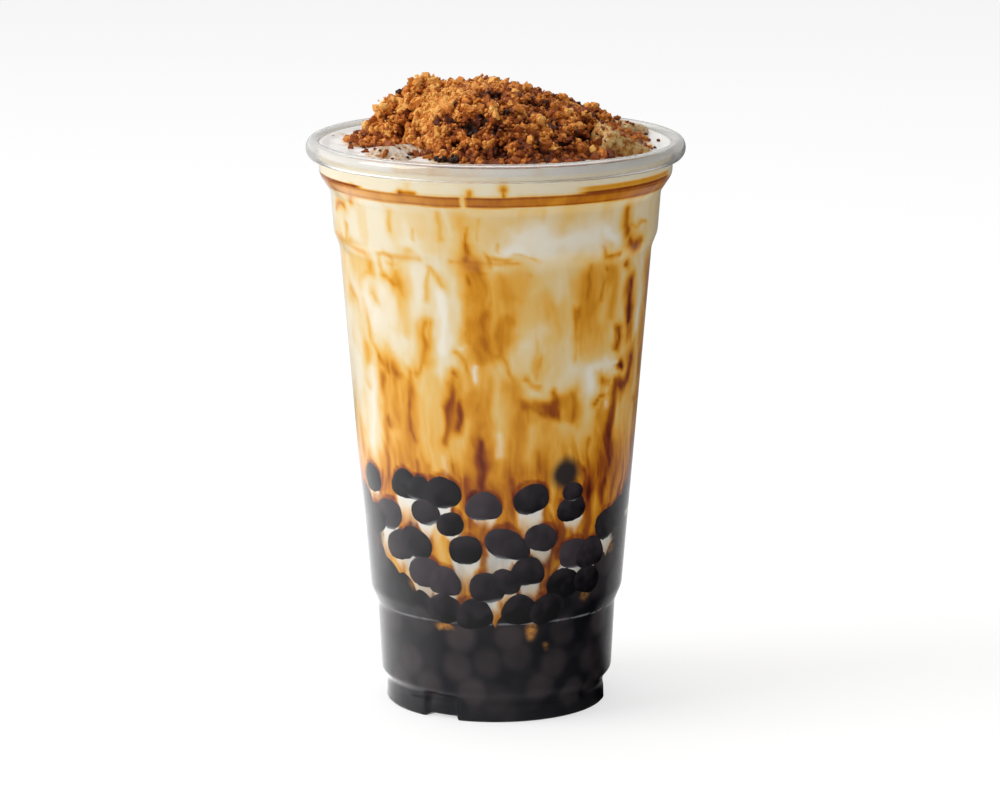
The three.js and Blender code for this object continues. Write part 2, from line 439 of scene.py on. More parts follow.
# The rolled rim: up the inside of the lip, over the top and curled back under it.
def rimOutline():
    middle, halfs = np.array(cup["rimMiddle"]), np.array(cup["rimHalf"]) - cup["sheet"]
    turns = np.radians(np.arange(200, -101, -20))
    return [tuple(middle + halfs * (math.cos(turn), math.sin(turn))) for turn in turns]


def plasticMaterial(name, clear, colour):
    material, tree, shader = startMaterial(name)
    shader.inputs["Base Color"].default_value = colour
    shader.inputs["Transmission Weight"].default_value = clear
    shader.inputs["IOR"].default_value = 1.46
    haze = addNoise(tree, 14, stretch=(1, 1, 0.3), detail=2)
    connect(tree, shader, "Roughness", addRange(tree, haze, 0.0, 1.0, 0.03, 0.1, "LINEAR"))
    addBump(tree, shader, addNoise(tree, 12, stretch=(1, 1, 0.4), detail=0), 0.05, 0.25)
    path = addNode(tree, "ShaderNodeLightPath")
    passing = addMath(tree, "MAXIMUM", path.outputs["Is Shadow Ray"], path.outputs["Is Diffuse Ray"])
    through = addNode(tree, "ShaderNodeBsdfTransparent").outputs["BSDF"]
    both = addNode(tree, "ShaderNodeMixShader", _0=passing, _1=shader.outputs["BSDF"], _2=through)
    tree.links.new(both.outputs["Shader"], tree.nodes["Material Output"].inputs["Surface"])
    return material


def makeCup():
    rows = wallRows(cup["wallFrom"], cup["corners"][-1][0], cup["rowSpacing"])
    wall = [(float(wallRadius(row)), row) for row in rows]
    piece = spinOutline("cupShell", floorOutline(0) + wall + rimOutline(), cup["steps"])
    pressNotches(piece)
    faceOutwards(piece)
    pickOnly(piece)
    skin = piece.modifiers.new("wall", "SOLIDIFY")
    skin.thickness = cup["sheet"] * mm
    skin.offset = -1
    bpy.ops.object.modifier_apply(modifier=skin.name)
    dress(piece, plasticMaterial("clear_plastic", 1.0, (1, 1, 1, 1)), cup["smooth"])
    piece.data.materials.append(plasticMaterial("cloudy_rim", cup["rimClear"], cup["rimColour"]))
    for face in piece.data.polygons:
        face.material_index = int(face.center.z > cup["rimFrom"] * mm)
    settle(piece, "clear_plastic", "cup")


# Dark bed of pearls and syrup at the bottom

bed = {
    "inset": 0.40,  # from the outside of the cup, so that it reaches into the wall
    "footInset": 0.12,
    "edge": (41, 10, 3),  # height at the wall: middle, rise at the sides, rise behind
    "bottom": 1.6,
    "top": 52.0,  # before its edge is shaped
    "rows": 52,
    "steps": 360,
    "smooth": 40,
    "lid": 22.0,
    "bumps": 38,  # pearl tops along its edge
    "bumpRise": 3.2,
    "discs": 90,  # pearls that show faintly through the syrup
    "discsPerRow": 18,
    "discTurn": 20.5,  # degrees from one to the next
    "discLow": 8,
    "discRise": 8.5,  # from one row to the next
    "paintRadius": 31,
    "wisps": [  # milky syrup between pearls: turn, height, half width, half height, strength
        (-25, 25.6, 2.6, 0.9, 0.8), (17, 24.8, 1.4, 2.2, 0.9), (25, 20.5, 1.0, 0.7, 0.4),
        (-48, 41.5, 2.6, 1.2, 0.5), (-60, 46.5, 2.0, 1.6, 0.45), (-40, 36.0, 1.6, 1.0, 0.35),
        (44, 33.5, 1.4, 1.8, 0.4), (61, 44.0, 1.8, 1.2, 0.45), (150, 26.0, 2.4, 1.0, 0.7),
        (205, 25.0, 1.6, 1.9, 0.8), (120, 41.0, 2.2, 1.2, 0.5), (258, 42.0, 2.4, 1.4, 0.5),
        (98, 30.0, 1.6, 1.6, 0.5), (-98, 29.0, 1.6, 1.4, 0.5),
    ],
    "wispColour": tone(206, 142, 66),
    "veilAndHighlightColour": tone(176, 178, 182),
    "stepHighlightHeight": 27.0,  # the cup's lowest step, which catches the light
}


def bedEdge(turn):
    middle, sideRise, backRise = bed["edge"]
    angle = np.radians(turn)
    return middle - sideRise * np.cos(2 * angle) - backRise * np.cos(angle)


def tapiocaMaterial(name, dark, light, spots):
    material, tree, shader = startMaterial(name)
    mottle = addMath(tree, "MULTIPLY", addMath(tree, "SUBTRACT", addNoise(tree, spots, detail=1), 0.5), 0.7)
    shade = addMath(tree, "ADD", readPaint(tree, "shade"), mottle)
    colour = addRamp(tree, shade, [(0.15, dark), (0.9, light)])
    ragged = addRange(tree, addNoise(tree, 1.3), 0.3, 0.6, 0.3, 1.0)
    wisp = addMath(tree, "MULTIPLY", readPaint(tree, "wisp"), ragged)
    colour = addMix(tree, wisp, colour, bed["wispColour"])
    patchy = addMath(tree, "MULTIPLY", addNoise(tree, 2.4, detail=1), 0.3)
    # the veil colour is milk crept under the pearls, and on the bed a painted highlight along the cup's
    # lowest step
    veil = addMath(tree, "ADD", readPaint(tree, "veil"), patchy)
    colour = addMix(tree, addRange(tree, veil, 0.3, 1.2, 0.0, 0.75), colour, bed["veilAndHighlightColour"])
    connect(tree, shader, "Base Color", colour)
    shader.inputs["Roughness"].default_value = 0.45
    shader.inputs["Specular IOR Level"].default_value = 0.05
    return material


def makeBed():
    inset, footInset, lid, highest = bed["inset"], bed["footInset"], bed["lid"], bed["top"]
    rows = wallRows(bed["bottom"], highest, highest / bed["rows"])
    wall = [(float(wallRadius(row)) - footInset - (inset - footInset) * blend(3, 9, row), row)
            for row in rows]
    piece = spinOutline("syrupBed", floorOutline(footInset) + wall + [(0, lid)], bed["steps"])
    pressNotches(piece)
    points = pointsOf(piece)
    turn, height = turnOf(points), points[:, 2]
    place = (turn / 360 + 0.5) * bed["bumps"]
    bump = np.sqrt(np.clip(1 - (2 * (place % 1) - 1) ** 2, 0, 1))
    bump = bump * (0.4 + 0.9 * scatter(np.floor(place), 4))
    edge = bedEdge(turn) - 2.2 + bed["bumpRise"] * bump
    onWall = (np.hypot(points[:, 0], points[:, 1]) > cup["standInner"] + 1.5) & (height > lid)
    lowered = lid + (height - lid) * (edge - lid) / (highest - lid)
    radius = wallRadius(lowered) - inset
    angle = np.radians(turn)
    points[onWall] = np.stack([radius * np.sin(angle), -radius * np.cos(angle), lowered], 1)[onWall]
    movePoints(piece, points)
    discs = np.zeros_like(turn)
    for number in range(bed["discs"]):
        spotTurn = bed["discTurn"] * number + dice.uniform(-5, 5)
        across = np.radians(apart(turn, spotTurn)) * bed["paintRadius"]
        row = number // bed["discsPerRow"]
        up = height - bed["discLow"] - bed["discRise"] * row - dice.uniform(-2, 2)
        discs = np.maximum(discs, dice.uniform(0.25, 0.8) * blend(5.2, 2.6, np.hypot(across, up)))
    paint(piece, "shade", 0.1 + 0.2 * swirl(turn, height, 11, 11, 8) + 0.75 * discs)
    wisp = np.zeros_like(turn)
    rough = 1.2 * (swirl(turn, height, 2.4, 2.4, 61) - 0.5)
    for spotTurn, spotHeight, half, tall, strength in bed["wisps"]:
        across = np.radians(apart(turn, spotTurn)) * bed["paintRadius"] + rough
        away = np.hypot(across / half, (height - spotHeight + rough) / tall)
        wisp = np.maximum(wisp, strength * blend(1.5, 0.3, away))
    paint(piece, "wisp", wisp)
    # painted highlight: a pale line on the bed along the cup's lowest step, where the step would catch the
    # light
    paint(piece, "veil", 0.6 * blend(0.6, 0.1, np.abs(height - bed["stepHighlightHeight"])))
    dress(piece, tapiocaMaterial("dark_syrup", tone(17, 18, 24), tone(62, 54, 56), 7.5), bed["smooth"])
    settle(piece, "tapioca", "pearl_bed")


# Pearls against the wall

pearls = {
    "radius": 5.0,
    "sink": 2.6,  # middle inside the face that shows
    "inset": 0.34,
    "places": [  # turn, height, size: the front ones that show
        (-64, 62, 1.0), (-41, 62.6, 1.05), (-34, 62.2, 0.86), (-23, 61.8, 1.12), (-5, 58.6, 1.02),
        (15, 60.5, 1.06), (34, 61.4, 0.66), (34, 57, 0.96), (56, 51, 1.12), (-31, 56.2, 0.92),
        (-19.5, 53.6, 0.86), (-52, 54, 1.1), (20, 50, 0.98), (-13, 47, 1.04), (3.5, 49, 1.1),
        (9, 47.4, 0.85), (36, 44.8, 1.08), (-37, 47.5, 1.12), (-23, 38, 1.06), (-4, 37, 1.1),
        (4, 38.5, 0.9), (14, 41, 1.06), (31, 37, 1.1), (11, 31, 1.04), (-10, 30, 1.1),
        (-33, 40, 1.1), (46, 44, 1.1), (24, 31, 1.05), (-24, 31, 1.0), (-46, 46, 1.1), (66, 53, 1.1),
        (-74, 55, 1.1), (74, 46, 1.1), (-62, 52, 1.05), (45, 37, 1.0),
    ],
    "behind": 44,  # drawn by lot, with this much room from middle to middle
    "behindTurns": (74, 286),
    "behindTop": 66,
    "behindGap": 6.8,
    "tries": 4000,
    "tail": 9.5,  # length of the milk that hangs under each
}


def pearlPlaces():
    places = list(pearls["places"])
    tries = 0
    while len(places) < len(pearls["places"]) + pearls["behind"] and tries < pearls["tries"]:
        tries += 1
        turn = dice.uniform(*pearls["behindTurns"])
        top = pearls["behindTop"] - 9 * blend(105, 85, abs(apart(turn, 0)))  # lower near the sides
        height = dice.uniform(bedEdge(turn) - 4, top)
        size = dice.uniform(0.85, 1.12)
        gaps = [math.hypot(math.radians(apart(turn, a)) * 34, height - h) for a, h, _ in places]
        if min(gaps) > pearls["behindGap"]:
            places.append((turn, height, size))
    return places


# Push each pearl flat against the wall, with its lower edge drawn in where milk has crept under it.
def pressPearl(ball, turn, height, size, number):
    radius = pearls["radius"] * size
    wobble = 1 + 0.07 * np.sin(3 * ball[:, 0] + 5 * number) * np.cos(2.3 * ball[:, 2] + number)
    local = ball * wobble[:, None] * radius
    local[:, 2] *= 0.96
    under = blend(0.1, 0.95, -ball[:, 2]) * (1 - 0.75 * np.clip(np.abs(ball[:, 0]) * 1.25, 0, 1) ** 2)
    local[:, 1] += 1.25 * size * under
    middle = float(wallRadius(height)) - pearls["inset"] - pearls["sink"] * size
    local[:, 1] -= middle
    local[:, 2] += height
    reach = np.hypot(local[:, 0], local[:, 1])
    limit = wallRadius(local[:, 2]) - pearls["inset"] + 0.008 * (number % 7)
    local[:, :2] *= (np.minimum(reach, limit) / reach)[:, None]
    angle = math.radians(turn)
    spun = local.copy()
    spun[:, 0] = local[:, 0] * math.cos(angle) - local[:, 1] * math.sin(angle)
    spun[:, 1] = local[:, 0] * math.sin(angle) + local[:, 1] * math.cos(angle)
    return spun


def templateOf(addPrimitive, **settings):
    deselectAll()
    addPrimitive(**settings)
    starter = bpy.context.object
    points = np.array([vertex.co for vertex in starter.data.vertices])
    faces = np.array([face.vertices[:] for face in starter.data.polygons])
    bpy.data.objects.remove(starter, do_unlink=True)
    return points, faces


# One mesh from many copies: each entry of `shapes` holds a copy's points, all with the same faces.
def joinCopies(name, shapes, faces):
    count = len(shapes[0])
    points = np.concatenate(shapes) * mm
    corners = np.concatenate([faces + count * number for number in range(len(shapes))])
    mesh = bpy.data.meshes.new(name)
    mesh.from_pydata(points.tolist(), [], corners.tolist())
    mesh.update()
    piece = bpy.data.objects.new(name, mesh)
    bpy.context.collection.objects.link(piece)
    return piece


def makePearls(places):
    ball, faces = templateOf(bpy.ops.mesh.primitive_ico_sphere_add, subdivisions=4, radius=1)
    shapes = [pressPearl(ball, *place, number) for number, place in enumerate(places)]
    piece = joinCopies("pearls", shapes, faces)
    # painted light: each pearl is painted lighter towards its top and its left, where the key lamp falls,
    # and darker below, besides a random tone of its own
    tones = [0.2 + 0.55 * scatter(number, 2) ** 2 + 0.2 * ball[:, 2] - 0.1 * ball[:, 0]
             for number in range(len(places))]
    paint(piece, "shade", np.concatenate(tones))
    veils = [blend(0.42, 0.92, -ball[:, 2] + 0.6 * ball[:, 0] * (scatter(number, 5) - 0.5))
             * (0.2 + 0.8 * scatter(number, 7)) * blend(5, 10, height - bedEdge(turn))
             for number, (turn, height, _) in enumerate(places)]
    paint(piece, "veil", np.concatenate(veils))
    dress(piece, tapiocaMaterial("tapioca_skin", tone(12, 11, 15), tone(68, 60, 66), 4.0))
    settle(piece, "tapioca", "pearl_bed")


# Milk tea with brown sugar syrup running down inside the wall

milk = {
    "inset": 0.45,
    "level": 145.5,
    "bottom": 22.0,
    "steps": 448,
    "rows": [(22, 28, 3.0), (28, 66, 0.6), (66, 120, 0.9), (120, 145.3, 0.45)],  # from, to, spacing
    "washes": [  # soft broad tints: strength, width, then the way as turn and height
        (0.30, 4.0, [(-66, 118), (-55, 119)]),
        (0.24, 5.0, [(-78, 126), (-78, 112)]),
        (0.33, 3.6, [(-37, 117), (-36, 106)]),
        (0.36, 3.6, [(-28, 106), (-28, 98), (-33, 92)]),
        (0.58, 4.8, [(-9, 121), (-7, 113), (-6, 106), (-5, 98)]),
        (0.44, 3.2, [(2, 118), (4, 110), (2, 102)]),
        (0.50, 5.2, [(-46, 94), (-45, 88), (-44, 80)]),
        (0.44, 4.4, [(-37, 90), (-36, 80), (-40, 70)]),
        (0.30, 3.4, [(-26, 90), (-26, 72)]),
        (0.50, 4.4, [(-8, 95), (-6, 84), (-4, 70)]),
        (0.46, 4.0, [(6, 90), (8, 80), (6, 68)]),
        (0.42, 4.4, [(20, 80), (22, 68)]),
        (0.22, 5.0, [(20, 112), (23, 94)]),
        (0.44, 3.2, [(-15, 92), (-16, 78)]),
        (0.36, 4.0, [(-5, 90), (-4, 76)]),
        (0.62, 3.6, [(13, 84), (22, 84), (30, 86), (33, 83)]),
        (0.36, 4.0, [(24, 78), (30, 74)]),
        (0.42, 5.4, [(39, 116.5), (40, 108), (41, 100)]),
        (0.36, 3.4, [(46, 108), (45, 98)]),
        (0.42, 2.8, [(48, 118), (49, 112), (48, 107)]),
        (0.54, 3.4, [(60, 115), (61, 108), (62, 101)]),
        (0.44, 3.0, [(54, 129), (58, 125)]),
        (0.56, 3.4, [(51, 82), (51, 72), (48, 62)]),
        (0.34, 4.6, [(66, 96), (66, 76)]),
        (0.55, 4.4, [(79, 116), (78, 72), (79, 62)]),
        (0.28, 5.0, [(4, 133), (24, 134)]),
        (0.4, 4.2, [(-12, 133), (-10, 123)]),
    ],
    "runs": [  # darker syrup, the same way
        (0.62, 0.9, [(-54, 140), (-57, 138), (-60, 135.5)]),
        (0.50, 1.0, [(-74, 133), (-70, 134), (-66, 133.5)]),
        (0.30, 0.8, [(-39, 135), (-39, 131)]),
        (0.32, 0.6, [(-20, 135.5), (-20, 129)]),
        (0.30, 0.5, [(-28.5, 131), (-29, 127)]),
        (0.50, 0.7, [(-11, 132), (-11, 127)]),
        (0.60, 1.1, [(-11, 127), (-11, 123.4)]),
        (0.32, 0.5, [(-5.5, 134), (-5.5, 129)]),
        (0.34, 0.7, [(16.5, 136), (17, 131)]),
        (0.42, 0.9, [(-80, 124.5), (-70, 124), (-62, 123), (-55, 122.6)]),
        (0.40, 0.8, [(-66, 128), (-66, 124)]),
        (0.50, 0.8, [(-46, 123), (-43, 123.8), (-40, 123)]),
        (0.36, 0.8, [(-40, 123.2), (-28, 123)]),
        (0.44, 0.7, [(-16, 122.8), (-2, 122.9), (8, 122.6)]),
        (0.55, 1.0, [(-2, 125), (-1.5, 123)]),
        (0.50, 1.6, [(0, 124.6), (4, 123.6)]),
        (0.52, 1.6, [(-53, 120), (-53, 117.6)]),
        (0.46, 1.3, [(-53, 117.6), (-58, 116), (-62, 114.5)]),
        (0.52, 1.5, [(-62, 114.5), (-63, 111.5)]),
        (0.46, 1.1, [(-63, 111.5), (-60, 107), (-57, 103.5), (-57, 100)]),
        (0.55, 1.5, [(-71, 110), (-68, 110)]),
        (0.46, 1.3, [(-53, 111), (-50, 109)]),
        (0.46, 0.9, [(-46, 122), (-46, 119)]),
        (0.64, 1.2, [(-45.5, 119), (-43, 117.6), (-39, 115.6)]),
        (0.42, 1.2, [(-38.5, 121), (-38, 117), (-36.5, 113)]),
        (0.44, 1.0, [(-25, 120.4), (-23.4, 118.6), (-21.4, 116.8)]),
        (0.40, 0.8, [(-25.4, 120), (-27, 116), (-27, 112)]),
        (0.64, 1.4, [(-27, 107), (-27, 101), (-29, 97), (-32, 93)]),
        (0.50, 1.1, [(-24, 108), (-24.4, 103), (-26, 99)]),
        (0.64, 0.8, [(-12, 119.6), (-10.4, 117.6)]),
        (0.44, 0.9, [(-11, 121.4), (-3, 121.2)]),
        (0.55, 1.4, [(-9, 107), (-9.4, 101)]),
        (0.66, 2.0, [(4, 109), (2.4, 106), (3, 101), (1, 98)]),
        (0.60, 1.2, [(2.6, 98), (4.2, 96.6), (5.4, 94.6)]),
        (0.60, 1.1, [(-14, 98), (-11.6, 96.4), (-10.4, 94)]),
        (0.54, 1.8, [(-60.6, 98), (-60, 95.6), (-60, 93.4)]),
        (0.40, 1.2, [(-57, 100), (-54, 97), (-52, 95.6)]),
        (0.26, 1.2, [(-63, 88.4), (-60, 86.6)]),
        (0.28, 1.1, [(-66, 85), (-70, 82), (-73, 79)]),
        (0.66, 1.8, [(-51, 95), (-47, 94), (-47, 92)]),
        (0.58, 1.4, [(-45, 92), (-40, 91.6)]),
        (0.56, 1.8, [(-49, 90), (-50, 82), (-49, 74), (-51, 66), (-54, 60)]),
        (0.82, 1.4, [(-48.4, 79), (-46.6, 77.4)]),
        (0.64, 1.1, [(-35, 93.4), (-35.4, 88), (-36, 83), (-36, 79.6)]),
        (0.62, 1.1, [(-36, 79), (-33.6, 75.4)]),
        (0.74, 0.9, [(-17, 93.6), (-15.6, 92)]),
        (0.64, 1.0, [(-17, 91), (-18, 85), (-19, 80), (-20.4, 75)]),
        (0.70, 0.9, [(-14, 86), (-13.4, 82), (-15, 78)]),
        (0.80, 1.3, [(-6, 76), (-5, 70), (-5.4, 65), (-5, 61)]),
        (0.54, 0.9, [(-33, 70), (-33, 65)]),
        (0.52, 0.8, [(-28, 70), (-28, 65)]),
        (0.50, 1.0, [(-17, 70), (-17, 65)]),
        (0.52, 1.6, [(-55, 66), (-56, 60)]),
        (0.60, 1.6, [(-13, 65), (-13, 59)]),
        (0.44, 0.6, [(1.4, 129), (2.4, 127), (5, 125.8), (9, 125), (13, 124), (16, 123)]),
        (0.64, 1.2, [(52, 134), (51.6, 130), (53, 127.6)]),
        (0.66, 1.4, [(54, 125), (58, 124), (61, 123.6)]),
        (0.48, 0.9, [(55, 128.6), (64, 129)]),
        (0.56, 0.7, [(41, 126), (42, 124), (43, 122.6), (50, 122.8)]),
        (0.62, 0.7, [(45.4, 120)]),
        (0.86, 0.9, [(55, 119.6)]),
        (0.48, 0.7, [(13, 120.4)]),
        (0.60, 0.8, [(44.6, 116), (44.8, 111)]),
        (0.50, 0.9, [(31.6, 110), (32, 104), (33.4, 98)]),
        (0.50, 0.8, [(37, 120), (36.4, 113)]),
        (0.82, 1.1, [(59.6, 114.6), (60, 108), (60, 104)]),
        (0.72, 1.1, [(53, 104), (54, 101), (52.4, 98.6)]),
        (0.72, 1.8, [(78, 114), (80, 108)]),
        (0.36, 0.5, [(15, 104), (15.4, 97)]),
        (0.44, 1.3, [(17, 97), (17, 93)]),
        (0.50, 1.1, [(12.4, 92.4), (15, 91), (18.4, 90.2)]),
        (0.52, 0.8, [(6, 94.4), (8, 93)]),
        (0.68, 1.8, [(33, 88), (34, 84), (33, 81)]),
        (0.62, 1.4, [(11, 85.6), (14, 83), (20, 82), (26, 82.4)]),
        (0.56, 0.9, [(24.6, 89), (26.4, 85)]),
        (0.62, 1.2, [(47, 91), (49.4, 89.6)]),
        (0.86, 1.1, [(55, 93.6), (56, 91.6)]),
        (0.86, 1.7, [(53, 87.6), (57, 87), (61, 87.4), (63, 90), (65, 93.6)]),
        (0.97, 0.9, [(60.6, 87)]),
        (0.55, 1.0, [(44, 84.6), (47, 85.8), (52, 85.4)]),
        (0.94, 1.9, [(54, 87), (55, 82), (54, 78), (53.6, 74), (54.6, 71.4), (54, 68), (52, 63), (51, 58)]),
        (0.48, 0.9, [(71, 83), (75, 81)]),
        (0.70, 2.4, [(77, 70), (79, 62)]),
        (0.60, 0.8, [(42, 76), (42.6, 70), (42, 66)]),
        (0.74, 1.8, [(40, 66), (42, 62.6), (45, 60)]),
        (0.56, 0.9, [(17, 73), (18, 67)]),
        (0.52, 0.7, [(3, 71.6), (3, 66)]),
        (0.60, 1.4, [(6, 64), (8, 61.6)]),
        (0.74, 0.7, [(-32, 140.4), (-26.6, 140.4)]),
        (0.34, 1.3, [(-29, 142.4), (-29, 141)]),
        (0.52, 0.7, [(-8, 141.3), (-8, 140)]),
        (0.58, 1.1, [(3, 141.9)]),
        (0.58, 0.6, [(3, 141), (3, 139.6)]),
    ],
    "whitesAndGlints": [  # clean milk, and painted highlights where an ice cube presses on the wall, the same way
        (0.55, 2.4, [(-53, 105), (-50, 107)]),
        (0.35, 3.0, [(-44, 103), (-40, 99)]),
        (0.75, 1.2, [(-21.6, 114.6), (-20.4, 108), (-19.4, 99)]),
        (0.60, 2.4, [(-58, 84), (-59, 76), (-62, 71)]),
        (0.45, 2.0, [(-56, 91), (-56, 86)]),
        (0.60, 0.9, [(-7.4, 95), (-8, 92)]),
        (0.40, 0.8, [(-11, 100), (-12.4, 99)]),
        # painted highlight: a glint at the left end of the ice lens, then the pale lens itself, partly the
        # ice cube's own pallor and partly a painted highlight
        (0.80, 2.2, [(5, 126.8), (10, 126.4)]),
        (0.66, 4.0, [(11, 128.2), (38, 128.8)]),
        (0.50, 4.0, [(-64, 112), (-58, 108)]),
        (0.40, 3.4, [(-72, 104), (-70, 96)]),
        (0.45, 3.0, [(-46, 113), (-44, 106)]),
        (0.35, 2.4, [(-31, 119), (-31, 110)]),
        (0.40, 3.0, [(-70, 92), (-69, 78)]),
        # painted highlight: a soft sheen and a glint at the right end of the ice lens
        (0.30, 2.6, [(34, 129.6), (41, 129)]),
        (0.85, 1.5, [(43.5, 128.8), (45.5, 127.6)]),
        (0.75, 1.6, [(40.6, 91.6), (41, 88.4)]),
        (0.55, 0.8, [(39, 92.4), (46, 93.4), (53, 94.6)]),
        (0.45, 0.9, [(50, 83.4), (50, 82.6)]),
        (0.30, 2.4, [(11, 100), (18, 106)]),
        (0.40, 1.1, [(69, 111), (69, 101)]),
        (0.40, 1.0, [(2, 78), (1, 73)]),
        (0.30, 1.2, [(-21, 71), (-21, 67)]),
    ],
    "backStretch": 1.12,  # the same pattern is used again, stretched, round the back
    "murk": [(30, 66.5, 4.0), (-68, 47, 6.0), (68, 50, 6.0)],  # sunken pearls: turn, height, radius
    "band": (138.6, 1.45),  # syrup lying in the groove under the collar: height and half its width
    "bandGaps": (-10.6, 96, 171, 232),
    "colours": [
        (0.04, tone(237, 225, 198)), (0.14, tone(235, 211, 163)), (0.26, tone(234, 194, 117)),
        (0.38, tone(233, 173, 75)), (0.50, tone(219, 149, 43)), (0.62, tone(193, 119, 28)),
        (0.76, tone(158, 82, 28)), (0.90, tone(116, 50, 26)), (1.0, tone(78, 30, 18)),
    ],
    "clean": tone(244, 236, 220),
    "veils": [(0.4, tone(238, 216, 178)), (0.75, tone(232, 228, 220)), (0.95, tone(214, 220, 224))],
    "sunken": tone(52, 45, 44),
    "smooth": 40,
}


def wallSpot(turn, height):
    return np.radians(turn) * cup["paintRadius"], height


def withBack(runs):
    behind = []
    for strength, width, way in runs:
        shift = dice.uniform(-3, 3)
        moved = [(180 + milk["backStretch"] * turn, height + shift) for turn, height in way]
        behind.append((strength, width, moved))
    return runs + behind


# How far each place is from the nearest stretch of a way, with `bend` put on its first distance.
def farFromWay(first, second, way, bend=0):
    nearest = np.full_like(first, 1e9)
    for (startA, startB), (endA, endB) in zip(way, way[1:] or way):
        alongA, alongB = endA - startA, endB - startB
        length = max(alongA ** 2 + alongB ** 2, 1e-9)
        share = np.clip(((first - startA) * alongA + (second - startB) * alongB) / length, 0, 1)
        away = np.hypot(first - startA - share * alongA + bend, second - startB - share * alongB)
        nearest = np.minimum(nearest, away)
    return nearest


# How strongly a set of runs covers each point, from 0 to 1.
def cover(turn, height, runs, spread, vary, crisp=1.6):
    left = np.ones_like(turn)
    for strength, width, way in runs:
        middle = way[0][0]
        across, up = wallSpot(apart(turn, middle), height)
        nearest = farFromWay(across, up, [wallSpot(apart(a, middle), h) for a, h in way])
        left = np.minimum(left, 1 - strength * np.exp(-(nearest / (width * spread * vary)) ** crisp))
    return 1 - left


# Syrup in the groove under the collar, with a dark line at its edges and a strand above it.
def grooveSyrup(turn, height, marble):
    front = apart(turn, 0)
    middle, half = milk["band"]
    above = height - middle - 0.5 * (swirl(turn, height * 0, 12, 9, 61) - 0.5)
    band = blend(half + 0.3, half - 0.3, np.abs(above))
    for gap in milk["bandGaps"]:
        band = band * (1 - 0.75 * blend(1.4, 0.2, np.abs(apart(turn, gap))))
    edge = blend(0.55, 0.1, np.abs(np.abs(above) - half + 0.25))
    depth = 0.5 + 0.12 * marble + 0.16 * edge + 0.07 * blend(-20, 0, front) - 0.05 * blend(-20, -50, front)
    right = blend(24, 32, front) * blend(80, 72, front)
    strand = 0.5 * right * blend(1.0, 0.4, np.abs(height - 141.3))
    line = 0.86 * np.maximum(right, blend(-46, -52, front)) * blend(0.55, 0.15, np.abs(height - 140.3))
    return np.maximum.reduce([band * depth, strand, line]), above - half


# Under each pearl hangs a veil of milk, and a darker ring is painted round the rest of its outline.
def pearlTraces(turn, height, places):
    veil = np.zeros_like(turn)
    outline = np.zeros_like(turn)
    rough = 3.6 * (swirl(turn, height, 3.4, 3.4, 101, 3) - 0.5)
    for spotTurn, spotHeight, size in places:
        across, up = wallSpot(apart(turn, spotTurn), height - spotHeight)
        across = across * wallRadius(height) / cup["paintRadius"]
        reach = 4.4 * size
        chance = scatter(spotTurn, spotHeight)
        ring = blend(2.0, 0.0, np.hypot(across, up) - reach + 0.5 * rough)
        outline = np.maximum(outline, ring * (1 - 0.8 * blend(-0.1, -0.7, up / reach)))
        long = pearls["tail"] * size * (0.5 + 0.9 * chance)
        down = -up - 0.45 * reach
        half = reach * (0.72 - 0.42 * blend(0, long, down)) + 0.8 * rough
        aside = np.abs(across + (chance - 0.5) * 0.5 * np.clip(down, 0, None))
        inside = blend(half + 0.9, half - 0.9, aside) * blend(0.25 * reach, -0.3 * reach, up)
        sunk = 0.4 + 0.6 * blend(2, 8, spotHeight - bedEdge(spotTurn))
        veil = np.maximum(veil, 0.86 * sunk * inside * (1 - blend(-0.1 * long, 1.1 * long, down + rough)))
    return veil, outline


